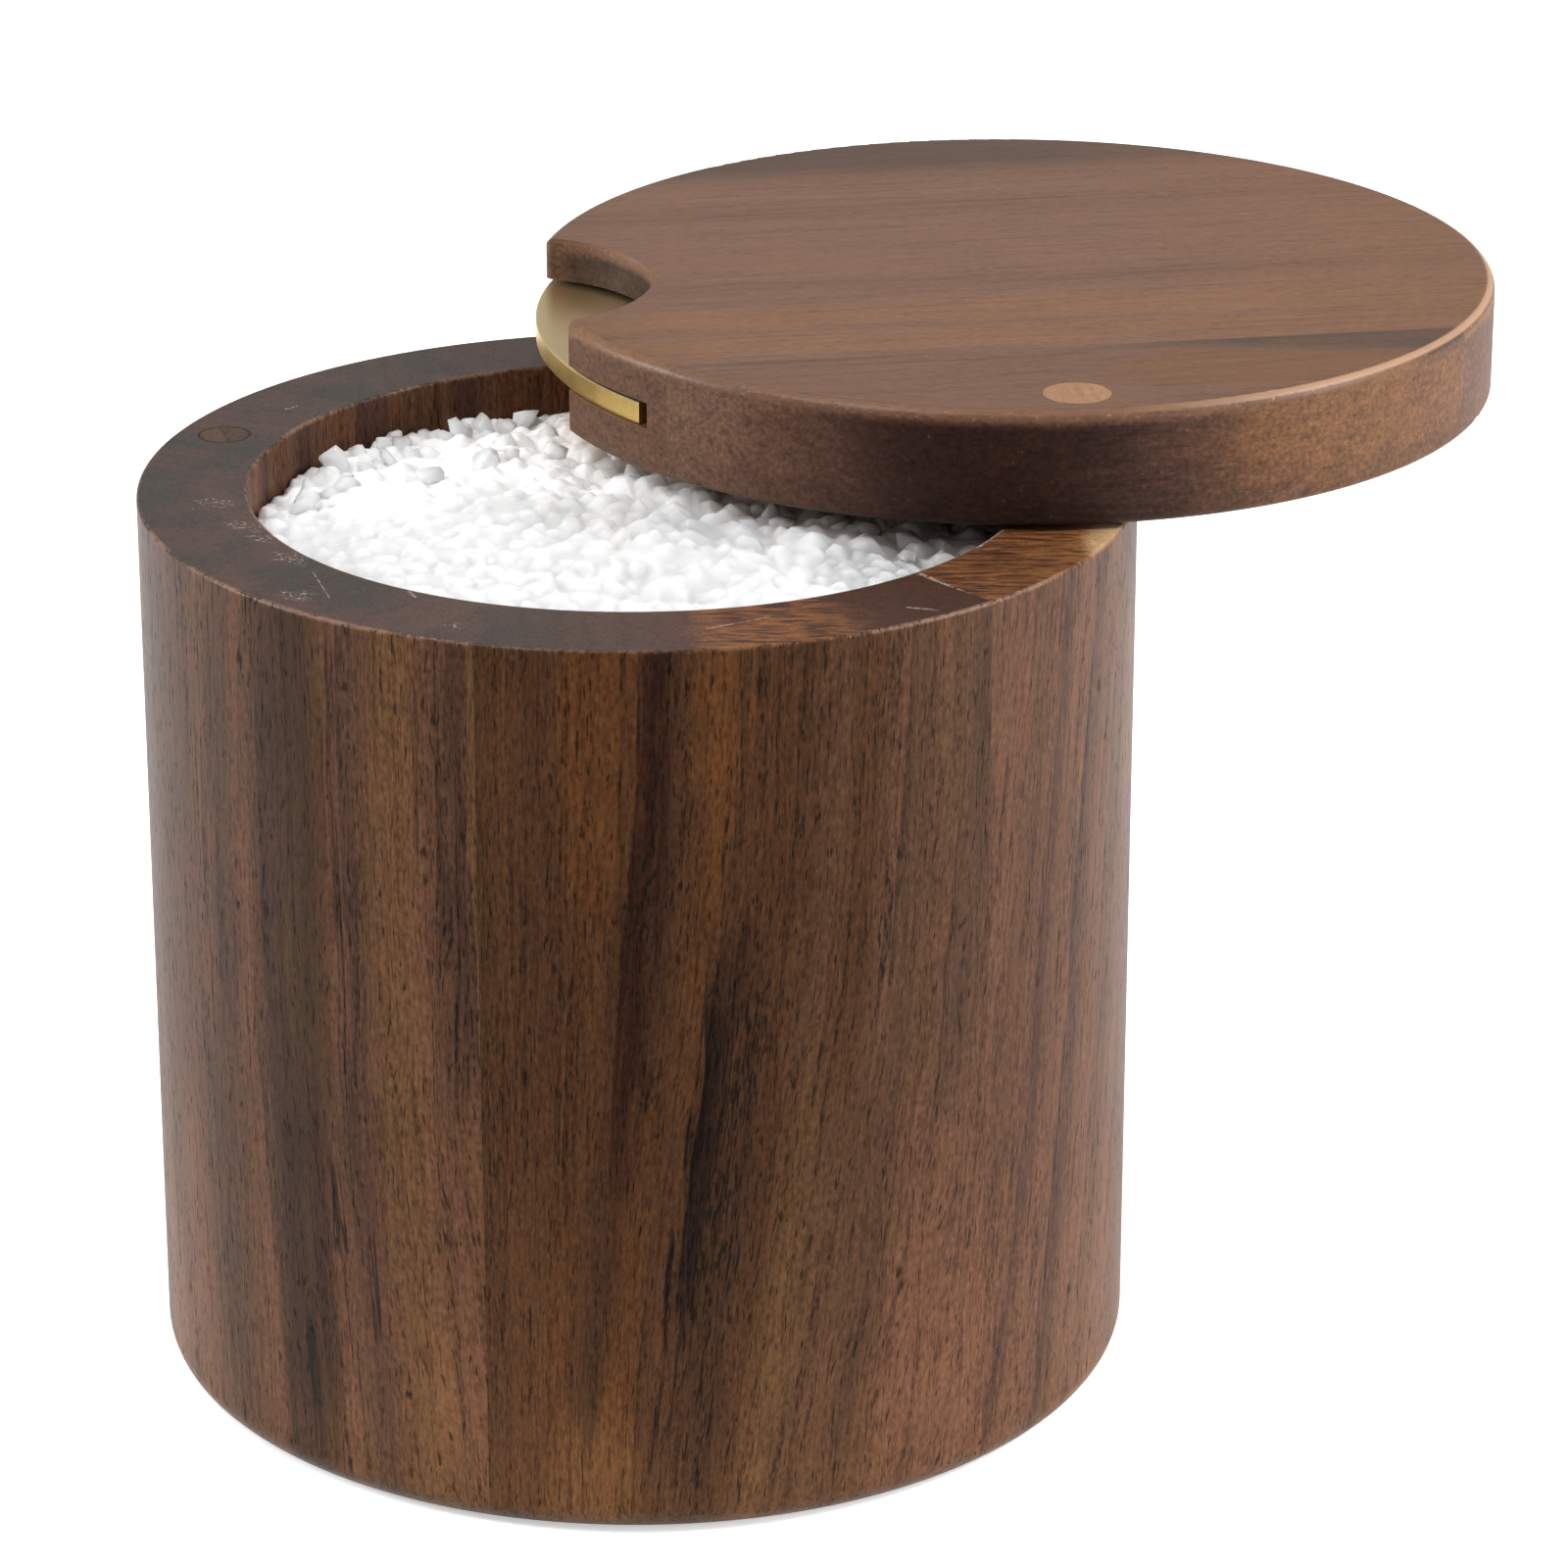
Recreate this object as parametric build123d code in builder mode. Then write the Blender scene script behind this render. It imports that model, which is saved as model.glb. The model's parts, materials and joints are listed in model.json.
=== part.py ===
from build123d import *
from math import cos, degrees, radians, sin
import os

# Round wooden salt box with a lid that swings sideways, in millimetres.
#
# The body is a ring of glued staves around a floor disc, filled with coarse salt. The lid is two boards glued edge to
# edge. It turns about a vertical screw in the rim, and a brass plate crosses its thumb notch. A magnet in the rim and
# one in the lid hold it shut.
#
# The origin is the centre of the underside and +Z is up. The pivot stands on +X. With the lid shut the thumb notch
# faces -Y. The lid is drawn swung open by lid_open_angle, clockwise from above.

# Body
body_radius = 55.0
body_height = 101.6
wall_thickness = 12.2
stave_count = 6
first_seam_angle = -93.5
rim_easing = 0.4
foot_rounding = 3.4

# Floor disc, glued into a rebate in the foot of the staves
floor_thickness = 10.0
floor_rebate = 4.0
glue_gap = 0.05

# Lid
lid_overhang = 0.3
lid_thickness = 13.0
lid_top_rounding = 1.3
lid_bottom_rounding = 0.8
lid_open_angle = 70.7
lid_seam_offset = 32.2
lid_seam_slant = 3.2

# Thumb notch, at notch_angle round the shut lid
notch_angle = -90
notch_radius = 18.0
notch_depth = 13.7
notch_corner_rounding = 1.2

# Brass plate across the notch, and its slot
plate_thickness = 2.5
plate_height = 5.0
plate_half_angle = 33.5
plate_recess = 0.4
plate_seat = 4.0
plate_corner_rounding = 2.0
plate_easing = 0.15
slot_headroom = 0.5
slot_back_gap = 0.2
slot_end_gap = 1.85

# Pivot screw, its threaded insert and its two washers
screw_shank_radius = 2.0
screw_reach = 9.0
screw_head_radius = 3.5
screw_head_height = 2.6
screw_slot_width = 1.2
screw_slot_depth = 1.2
screw_tip_chamfer = 0.6
running_clearance = 0.05
head_clearance = 0.3
insert_radius = 3.0
insert_length = 8.0
pilot_spare_depth = 1.0
washer_bore_clearance = 0.15
head_washer_thickness = 0.5
spacer_washer_radius = 4.5
spacer_washer_thickness = 0.5

# Wooden plug over the screw head
pivot_plug_thickness = 3.0
plug_headroom = 0.3

# Magnetic catch: a magnet under a wooden plug in the rim, and its twin in the lid
magnet_radius = 2.5
magnet_thickness = 3.0
catch_pocket_radius = 2.85
catch_plug_thickness = 1.5
catch_circle_radius = 49.5
catch_angle = 174.5

# Salt, heaped a little above its level at the wall
salt_wall_gap = 0.2
salt_depth_below_rim = 6.5
salt_crown = 1.5

# Sizes that follow from the ones above
cavity_radius = body_radius - wall_thickness
rebate_radius = cavity_radius + floor_rebate
stave_angle = 360 / stave_count
pivot_radius = body_radius - wall_thickness / 2
lid_radius = body_radius + lid_overhang
lid_underside = body_height + spacer_washer_thickness
notch_centre_distance = lid_radius - notch_depth + notch_radius
notch_centre = Vector(notch_centre_distance, 0).rotate(Axis.Z, notch_angle)
plate_inner_radius = lid_radius - notch_depth - plate_seat
plate_outer_radius = lid_radius - plate_recess
slot_half_angle = plate_half_angle + degrees(slot_end_gap / lid_radius)
counterbore_radius = screw_head_radius + head_clearance
pivot_plug_radius = counterbore_radius - glue_gap
counterbore_depth = pivot_plug_thickness + plug_headroom + screw_head_height + head_washer_thickness
catch_x = catch_circle_radius * cos(radians(catch_angle))
catch_y = catch_circle_radius * sin(radians(catch_angle))
cut_margin = 5.0

# Heights of the pivot's pieces above the underside of the body
head_washer_height = lid_underside + lid_thickness - counterbore_depth
screw_head_seat = head_washer_height + head_washer_thickness

# Planes. On lid_plane the sketches are drawn as if the lid were shut, so its centre is the body's axis.
rim_plane = Plane.XY.offset(body_height)
lid_direction = Vector(1, 0, 0).rotate(Axis.Z, -lid_open_angle)
lid_centre = Vector(pivot_radius, 0, lid_underside) - lid_direction * pivot_radius
lid_plane = Plane(origin=lid_centre, x_dir=lid_direction, z_dir=(0, 0, 1))
lid_top_plane = lid_plane.offset(lid_thickness)
seam_direction = lid_direction.rotate(Axis.Z, lid_seam_slant)
seam_plane = Plane(origin=lid_centre + seam_direction * lid_seam_offset, z_dir=seam_direction)

os.makedirs("parts", exist_ok=True)


def save(piece, name):
    """Labels a finished piece and writes it to its own file."""
    piece.part.label = name
    export_step(piece.part, f"parts/{name}.step")


def upright_plane(angle):
    """The vertical half-plane at an angle about the body's axis: its X is the radius and its Y is the height."""
    return Plane(
        origin=(0, 0, 0),
        x_dir=Vector(1, 0, 0).rotate(Axis.Z, angle),
        z_dir=Vector(0, -1, 0).rotate(Axis.Z, angle),
    )


def wall_section(angle):
    """Section of the wall: rebate for the floor, rounded foot and eased rim."""
    with BuildSketch(upright_plane(angle)) as section:
        with BuildLine():
            Polyline(
                (rebate_radius, 0),
                (body_radius, 0),
                (body_radius, body_height),
                (cavity_radius, body_height),
                (cavity_radius, floor_thickness),
                (rebate_radius, floor_thickness),
                close=True,
            )
        make_face()
        fillet(section.vertices().group_by(Axis.Y)[-1], rim_easing)
        fillet(section.vertices().group_by(Axis.Y)[0].sort_by(Axis.X)[-1], foot_rounding)
    return section.sketch


def notch_cut(plane):
    """What the thumb notch takes out of the lid, flared where it meets the edge so that the corners are rounded."""
    with BuildSketch() as rim:
        Circle(lid_radius + running_clearance)
        with PolarLocations(notch_centre_distance, 1, start_angle=notch_angle):
            Circle(notch_radius, mode=Mode.SUBTRACT)
        fillet(rim.vertices().sort_by_distance(notch_centre)[:2], notch_corner_rounding)
    with BuildSketch(plane) as cut:
        Circle(lid_radius + cut_margin)
        add(rim.sketch, mode=Mode.SUBTRACT)
    return cut.sketch


def edge_sector(plane, inner_radius, outer_radius, half_angle, corner_radius):
    """A ring sector centred on the notch, with its two inner corners rounded."""
    with BuildSketch(plane) as sector:
        with BuildLine():
            outer = CenterArc((0, 0), outer_radius, notch_angle - half_angle, 2 * half_angle)
            inner = CenterArc((0, 0), inner_radius, notch_angle - half_angle, 2 * half_angle)
            Line(inner @ 0, outer @ 0)
            Line(inner @ 1, outer @ 1)
        make_face()
        fillet(sector.vertices().sort_by_distance((0, 0))[:2], corner_radius)
    return sector.sketch


# Staves. Each is the same section turned through its share of the ring; the pivot and catch pockets fall where they may.
for number in range(stave_count):
    with BuildPart() as stave:
        revolve(wall_section(first_seam_angle + number * stave_angle), axis=Axis.Z, revolution_arc=stave_angle)
        with Locations(rim_plane):
            with Locations((pivot_radius, 0)):
                CounterBoreHole(
                    radius=screw_shank_radius + running_clearance,
                    counter_bore_radius=insert_radius + glue_gap,
                    counter_bore_depth=insert_length,
                    depth=screw_reach + pilot_spare_depth,
                )
            with Locations((catch_x, catch_y)):
                Hole(radius=catch_pocket_radius, depth=catch_plug_thickness + magnet_thickness)
    save(stave, f"stave_{number + 1}")

# Floor disc
with BuildPart() as floor_disc:
    with BuildSketch():
        Circle(rebate_radius - glue_gap)
    extrude(amount=floor_thickness)
save(floor_disc, "floor_disc")

# Salt: a closed solid up to its heaped top
with BuildPart() as salt_fill:
    with BuildSketch(Plane.XZ):
        with BuildLine():
            wall_level = (cavity_radius - salt_wall_gap, body_height - salt_depth_below_rim)
            crown = (0, body_height - salt_depth_below_rim + salt_crown)
            Polyline(crown, (0, floor_thickness), (wall_level[0], floor_thickness), wall_level)
            TangentArc(crown, wall_level, tangent=(1, 0))
        make_face()
    revolve(axis=Axis.Z)
save(salt_fill, "salt_fill")

# Threaded insert, flush with the rim
with BuildPart() as pivot_insert:
    with BuildSketch(rim_plane):
        with Locations((pivot_radius, 0)):
            Circle(insert_radius)
            Circle(screw_shank_radius + running_clearance, mode=Mode.SUBTRACT)
    extrude(amount=-insert_length)
save(pivot_insert, "pivot_insert")

# Pivot screw with a slotted cheese head
with BuildPart() as pivot_screw:
    with BuildSketch(rim_plane.offset(-screw_reach)):
        with Locations((pivot_radius, 0)):
            Circle(screw_shank_radius)
    extrude(amount=screw_reach + screw_head_seat - body_height)
    chamfer(pivot_screw.edges().group_by(Axis.Z)[0], screw_tip_chamfer)
    with BuildSketch(Plane.XY.offset(screw_head_seat)):
        with Locations((pivot_radius, 0)):
            Circle(screw_head_radius)
    extrude(amount=screw_head_height)
    with BuildSketch(Plane.XY.offset(screw_head_seat + screw_head_height)):
        with Locations((pivot_radius, 0)):
            Rectangle(2 * screw_head_radius + cut_margin, screw_slot_width)
    extrude(amount=-screw_slot_depth, mode=Mode.SUBTRACT)
save(pivot_screw, "pivot_screw")

# Washers: one lifts the lid off the rim, the other lies under the screw head
washers = (
    ("spacer_washer", body_height, spacer_washer_radius, spacer_washer_thickness),
    ("head_washer", head_washer_height, screw_head_radius, head_washer_thickness),
)
for name, height, outer_radius, thickness in washers:
    with BuildPart() as washer:
        with BuildSketch(Plane.XY.offset(height)):
            with Locations((pivot_radius, 0)):
                Circle(outer_radius)
                Circle(screw_shank_radius + washer_bore_clearance, mode=Mode.SUBTRACT)
        extrude(amount=thickness)
    save(washer, name)

# Lid boards: the same notched disc, split along the glue line
for name, side in (("lid_main_board", Keep.BOTTOM), ("lid_edge_board", Keep.TOP)):
    with BuildPart() as board:
        with BuildSketch(lid_plane):
            Circle(lid_radius)
        extrude(amount=lid_thickness)
        fillet(board.edges().group_by(Axis.Z)[-1], lid_top_rounding)
        fillet(board.edges().group_by(Axis.Z)[0], lid_bottom_rounding)
        extrude(notch_cut(lid_plane), amount=lid_thickness, mode=Mode.SUBTRACT)
        slot = edge_sector(
            lid_plane.offset(plate_height),
            plate_inner_radius - slot_back_gap,
            lid_radius + cut_margin,
            slot_half_angle,
            plate_corner_rounding + slot_back_gap,
        )
        extrude(slot, amount=plate_thickness + slot_headroom, mode=Mode.SUBTRACT)
        with Locations(lid_top_plane):
            with Locations((pivot_radius, 0)):
                CounterBoreHole(
                    radius=screw_shank_radius + running_clearance,
                    counter_bore_radius=counterbore_radius,
                    counter_bore_depth=counterbore_depth,
                    depth=lid_thickness,
                )
        with BuildSketch(lid_plane):
            with Locations((catch_x, catch_y)):
                Circle(catch_pocket_radius)
        extrude(amount=catch_plug_thickness + magnet_thickness, mode=Mode.SUBTRACT)
        split(bisect_by=seam_plane, keep=side)
    save(board, name)

# Brass plate
with BuildPart() as thumb_plate:
    plate = edge_sector(
        lid_plane.offset(plate_height),
        plate_inner_radius,
        plate_outer_radius,
        plate_half_angle,
        plate_corner_rounding,
    )
    extrude(plate, amount=plate_thickness)
    chamfer(thumb_plate.edges().filter_by(Axis.Z, reverse=True), plate_easing)
save(thumb_plate, "thumb_plate")

# Plug over the screw head, flush with the lid's top
with BuildPart() as pivot_plug:
    with BuildSketch(lid_top_plane):
        with Locations((pivot_radius, 0)):
            Circle(pivot_plug_radius)
    extrude(amount=-pivot_plug_thickness)
save(pivot_plug, "pivot_plug")

# Catch magnets and their plugs: in the body they open upwards, in the lid downwards
for owner, mouth, inwards in (("body", rim_plane, -1), ("lid", lid_plane, 1)):
    with BuildPart() as magnet:
        with BuildSketch(mouth.offset(inwards * catch_plug_thickness)):
            with Locations((catch_x, catch_y)):
                Circle(magnet_radius)
        extrude(amount=inwards * magnet_thickness)
    save(magnet, f"{owner}_magnet")
    with BuildPart() as magnet_plug:
        with BuildSketch(mouth):
            with Locations((catch_x, catch_y)):
                Circle(catch_pocket_radius - glue_gap)
        extrude(amount=inwards * catch_plug_thickness)
    save(magnet_plug, f"{owner}_magnet_plug")
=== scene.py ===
"""Looks of the round wooden salt box: walnut, brass and steel, coarse salt, and a plain white studio."""

import json
from math import cos, pi, radians, sin
from random import Random
from types import SimpleNamespace

import bmesh
import bpy
import numpy as np
from mathutils import Matrix, Vector, noise


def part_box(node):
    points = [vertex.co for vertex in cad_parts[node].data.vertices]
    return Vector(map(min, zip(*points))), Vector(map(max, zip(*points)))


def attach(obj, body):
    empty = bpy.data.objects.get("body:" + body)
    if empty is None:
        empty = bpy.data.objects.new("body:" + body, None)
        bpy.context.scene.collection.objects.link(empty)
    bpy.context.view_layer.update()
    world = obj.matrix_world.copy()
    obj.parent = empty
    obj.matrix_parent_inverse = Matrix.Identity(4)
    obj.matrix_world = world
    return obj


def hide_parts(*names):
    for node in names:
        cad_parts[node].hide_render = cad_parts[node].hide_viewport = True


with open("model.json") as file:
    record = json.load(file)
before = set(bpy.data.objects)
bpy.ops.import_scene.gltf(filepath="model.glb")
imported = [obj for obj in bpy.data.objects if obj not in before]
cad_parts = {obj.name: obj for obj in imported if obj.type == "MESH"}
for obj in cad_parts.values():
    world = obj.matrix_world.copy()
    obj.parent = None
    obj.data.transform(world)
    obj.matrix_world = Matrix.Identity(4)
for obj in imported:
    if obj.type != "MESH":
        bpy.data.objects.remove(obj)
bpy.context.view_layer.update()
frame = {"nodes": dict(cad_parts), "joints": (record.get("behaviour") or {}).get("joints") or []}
nodes = frame["nodes"]

MM = 0.001
up = Vector((0, 0, 1))
down = -up

# The body, as the CAD has it, in millimetres and radians
stave_count = 6
stave_angle = 2 * pi / stave_count
first_seam = radians(-93.5)
body_radius = 55.0
cavity_radius = 42.8
body_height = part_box("stave_1")[1].z / MM

# The lid, swung open about the pivot from where it would be shut
lid_radius = 55.3
swing = frame["joints"][0]
pivot = Vector(swing["pos_m"]) / MM
lid_turn = Matrix.Rotation(-radians(swing["range_deg"][1]), 3, "Z")
lid_centre = pivot - lid_turn @ Vector((pivot.x, 0, 0))
lid_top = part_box("lid_main_board")[1].z / MM

# Camera, as the photograph was taken
view_turn = radians(13.1)
view_pitch = radians(21.426)
camera_place = Vector((16.083, -631.433, 313.328)) * MM
camera_lens = 138.67
sensor_width = 36

# The photograph's left to right and front to back, on the ground plan
view_across = Vector((cos(view_turn), sin(view_turn), 0))
view_ahead = Vector((-sin(view_turn), cos(view_turn), 0))


def toward_camera(x, y):
    """How far a point of the ground plan lies from the body's axis towards the camera."""
    return x * sin(view_turn) - y * cos(view_turn)


def srgb(red, green, blue):
    """A colour as it is written on screen, turned into the linear values that nodes take."""
    def level(part):
        part = part / 255
        return part / 12.92 if part <= 0.04045 else ((part + 0.055) / 1.055) ** 2.4
    return (level(red), level(green), level(blue), 1.0)


class Flow:
    """A value on its way through a node tree, with ordinary arithmetic."""

    def __init__(self, tree, socket):
        self.tree = tree
        self.socket = socket

    def __add__(self, other):
        return self.tree.math("ADD", self, other)

    def __radd__(self, other):
        return self.tree.math("ADD", other, self)

    def __sub__(self, other):
        return self.tree.math("SUBTRACT", self, other)

    def __rsub__(self, other):
        return self.tree.math("SUBTRACT", other, self)

    def __mul__(self, other):
        return self.tree.math("MULTIPLY", self, other)

    def __truediv__(self, other):
        return self.tree.math("DIVIDE", self, other)

    def __neg__(self):
        return self.tree.math("MULTIPLY", self, -1)


class Tree:
    """A node tree, with short calls for the nodes that the looks are made of."""

    def __init__(self, node_tree):
        self.made = node_tree
        self.made.nodes.clear()

    def feed(self, socket, value):
        """Gives a socket a flow or a plain value."""
        if isinstance(value, Flow):
            self.made.links.new(value.socket, socket)
        else:
            socket.default_value = value

    def node(self, kind, inputs=(), output=0, **settings):
        added = self.made.nodes.new(kind)
        for name, value in settings.items():
            setattr(added, name, value)
        for key, value in dict(inputs).items():
            self.feed(added.inputs[key], value)
        return Flow(self, added.outputs[output])

    def where(self, kind):
        """A coordinate, such as Object, Normal or Generated."""
        return self.node("ShaderNodeTexCoord", output=kind)

    def ray(self, kind):
        """1 on rays of one kind, such as Camera, and 0 on others."""
        return self.node("ShaderNodeLightPath", output=f"Is {kind} Ray")

    def math(self, operation, first, second=0.0):
        return self.node("ShaderNodeMath", {0: first, 1: second}, operation=operation)

    def size(self, value):
        return self.math("ABSOLUTE", value)

    def larger(self, first, *others):
        for other in others:
            first = self.math("MAXIMUM", first, other)
        return first

    def dot(self, vector, axis):
        return self.node("ShaderNodeVectorMath", {0: vector, 1: tuple(axis)}, output=1,
                         operation="DOT_PRODUCT")

    def distance(self, vector, other=(0, 0, 0)):
        return self.node("ShaderNodeVectorMath", {0: vector, 1: other}, output=1, operation="DISTANCE")

    def join(self, x, y, z=0.0):
        return self.node("ShaderNodeCombineXYZ", {0: x, 1: y, 2: z})

    def split(self, vector):
        added = self.made.nodes.new("ShaderNodeSeparateXYZ")
        self.feed(added.inputs[0], vector)
        return [Flow(self, part) for part in added.outputs]

    def noise(self, x, y, z, detail=2.0, roughness=0.5):
        """Smooth noise round 0.5 over three coordinates, each already divided by its grain size."""
        return self.node("ShaderNodeTexNoise", {
            "Vector": self.join(x, y, z), "Scale": 1.0, "Detail": detail, "Roughness": roughness})

    def waver(self, value, detail=1.0):
        """Smooth noise round 0.5 along one coordinate."""
        return self.node("ShaderNodeTexNoise", {"W": value, "Scale": 1.0, "Detail": detail},
                         noise_dimensions="1D")

    def step(self, value, low, high):
        """0 below low and 1 above high, or the other way round, with a soft step between them."""
        turned = low > high
        return self.node("ShaderNodeMapRange", {
            0: value, 1: min(low, high), 2: max(low, high),
            3: 1.0 if turned else 0.0, 4: 0.0 if turned else 1.0}, interpolation_type="SMOOTHSTEP")

    def ramp(self, value, stops):
        """A colour from a list of (place from 0 to 1, colour)."""
        added = self.made.nodes.new("ShaderNodeValToRGB")
        elements = added.color_ramp.elements
        while len(elements) > 1:
            elements.remove(elements[0])
        elements[0].position, elements[0].color = stops[0]
        for position, colour in stops[1:]:
            elements.new(position).color = colour
        self.feed(added.inputs[0], value)
        return Flow(self, added.outputs[0])

    def mix(self, first, second, share):
        """A colour part-way from first to second."""
        added = self.made.nodes.new("ShaderNodeMix")
        added.data_type = "RGBA"
        for socket, value in (("Factor", share), (6, first), (7, second)):
            self.feed(added.inputs[socket], value)
        return Flow(self, added.outputs[2])

    def blend(self, first, second, share):
        """A number part-way from first to second."""
        return self.node("ShaderNodeMix", {0: share, 2: first, 3: second})

    def scale(self, vector, factor):
        return self.node("ShaderNodeVectorMath", {0: vector, "Scale": factor}, operation="SCALE")

    def shade(self, colour, level):
        """A colour made lighter or darker by a number."""
        if not isinstance(colour, Flow):
            colour = colour[:3]
        return self.scale(colour, level)

    def spot(self, x, y, middle, reach):
        """A soft oval patch, 1 in its middle, given by its middle and how far it reaches each way."""
        dx = (x - middle[0]) / reach[0]
        dy = (y - middle[1]) / reach[1]
        return self.step(dx * dx + dy * dy, 1.0, 0.15)

    def line(self, x, y, start, end, width):
        """A thin soft line between two points of a plane, 1 in its middle and 0 outside it."""
        run = Vector(end) - Vector(start)
        length = run.length
        way = run / length
        dx = x - start[0]
        dy = y - start[1]
        ahead = dx * way.x + dy * way.y
        aside = self.size(dx * way.y - dy * way.x)
        past = self.larger(-ahead, ahead - length, 0.0)
        return self.step(aside + past, width, width * 0.3)


class Craft(Tree):
    """One material, with one Principled shader."""

    def __init__(self, name):
        self.material = bpy.data.materials.new(name)
        self.material.use_nodes = True
        super().__init__(self.material.node_tree)
        self.shader = self.made.nodes.new("ShaderNodeBsdfPrincipled")
        surface = self.made.nodes.new("ShaderNodeOutputMaterial")
        self.made.links.new(self.shader.outputs[0], surface.inputs["Surface"])

    def set(self, **values):
        """Sets the shader's sockets, named with underscores for spaces."""
        for name, value in values.items():
            self.feed(self.shader.inputs[name.replace("_", " ")], value)

    def place(self):
        """The point on the piece, in millimetres, in the piece's own frame."""
        return self.scale(self.where("Object"), 1 / MM)

    def facing(self, axis):
        """How squarely the surface faces along an axis, from 0 to 1."""
        return self.size(self.dot(self.where("Normal"), axis))

    def bump(self, height, depth_mm, strength):
        """Raised and sunk detail, with its full depth in millimetres."""
        self.set(Normal=self.node("ShaderNodeBump", {
            "Strength": strength, "Distance": depth_mm * MM, "Height": height}))


def dress(name, material):
    """Puts a material on every slot of a carried-over piece."""
    piece = nodes[name]
    if not piece.data.materials:
        piece.data.materials.append(None)
    for slot in piece.material_slots:
        slot.link = "OBJECT"
        slot.material = material


# Pigments of the heartwood, as written on screen
GOLD = srgb(93, 58, 28)
HONEY = srgb(80, 51, 27)
TAN = srgb(73, 48, 29)
BROWN = srgb(65, 43, 27)
OLIVE = srgb(61, 42, 24)
UMBER = srgb(50, 34, 22)
RED = srgb(49, 27, 17)
ROSE = srgb(87, 60, 45)
ROSE_DEEP = srgb(77, 54, 38)
PLUM = srgb(63, 43, 35)
DIM = srgb(68, 49, 36)
FAWN = srgb(85, 61, 39)
INK = srgb(24, 15, 15)
SAND = srgb(106, 73, 44)

# Sizes of the wood's noises, in millimetres across and along the grain
WANDER = (26, 75)
TREMBLE = (2.4, 22)
THREAD = (0.85, 42)
FIBRE = (0.36, 11)
SPECK = (0.36, 1.0)
HAZE = (8, 15)
PIT = (0.24, 2.0)

# Growth rings and the bands of pigment across them, in millimetres
ring_spacing = 2.6
ring_wobble = 3.4
band_width = 11.0

# How far one block's noises lie from the next one's
seed_shift = 37.7


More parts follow.
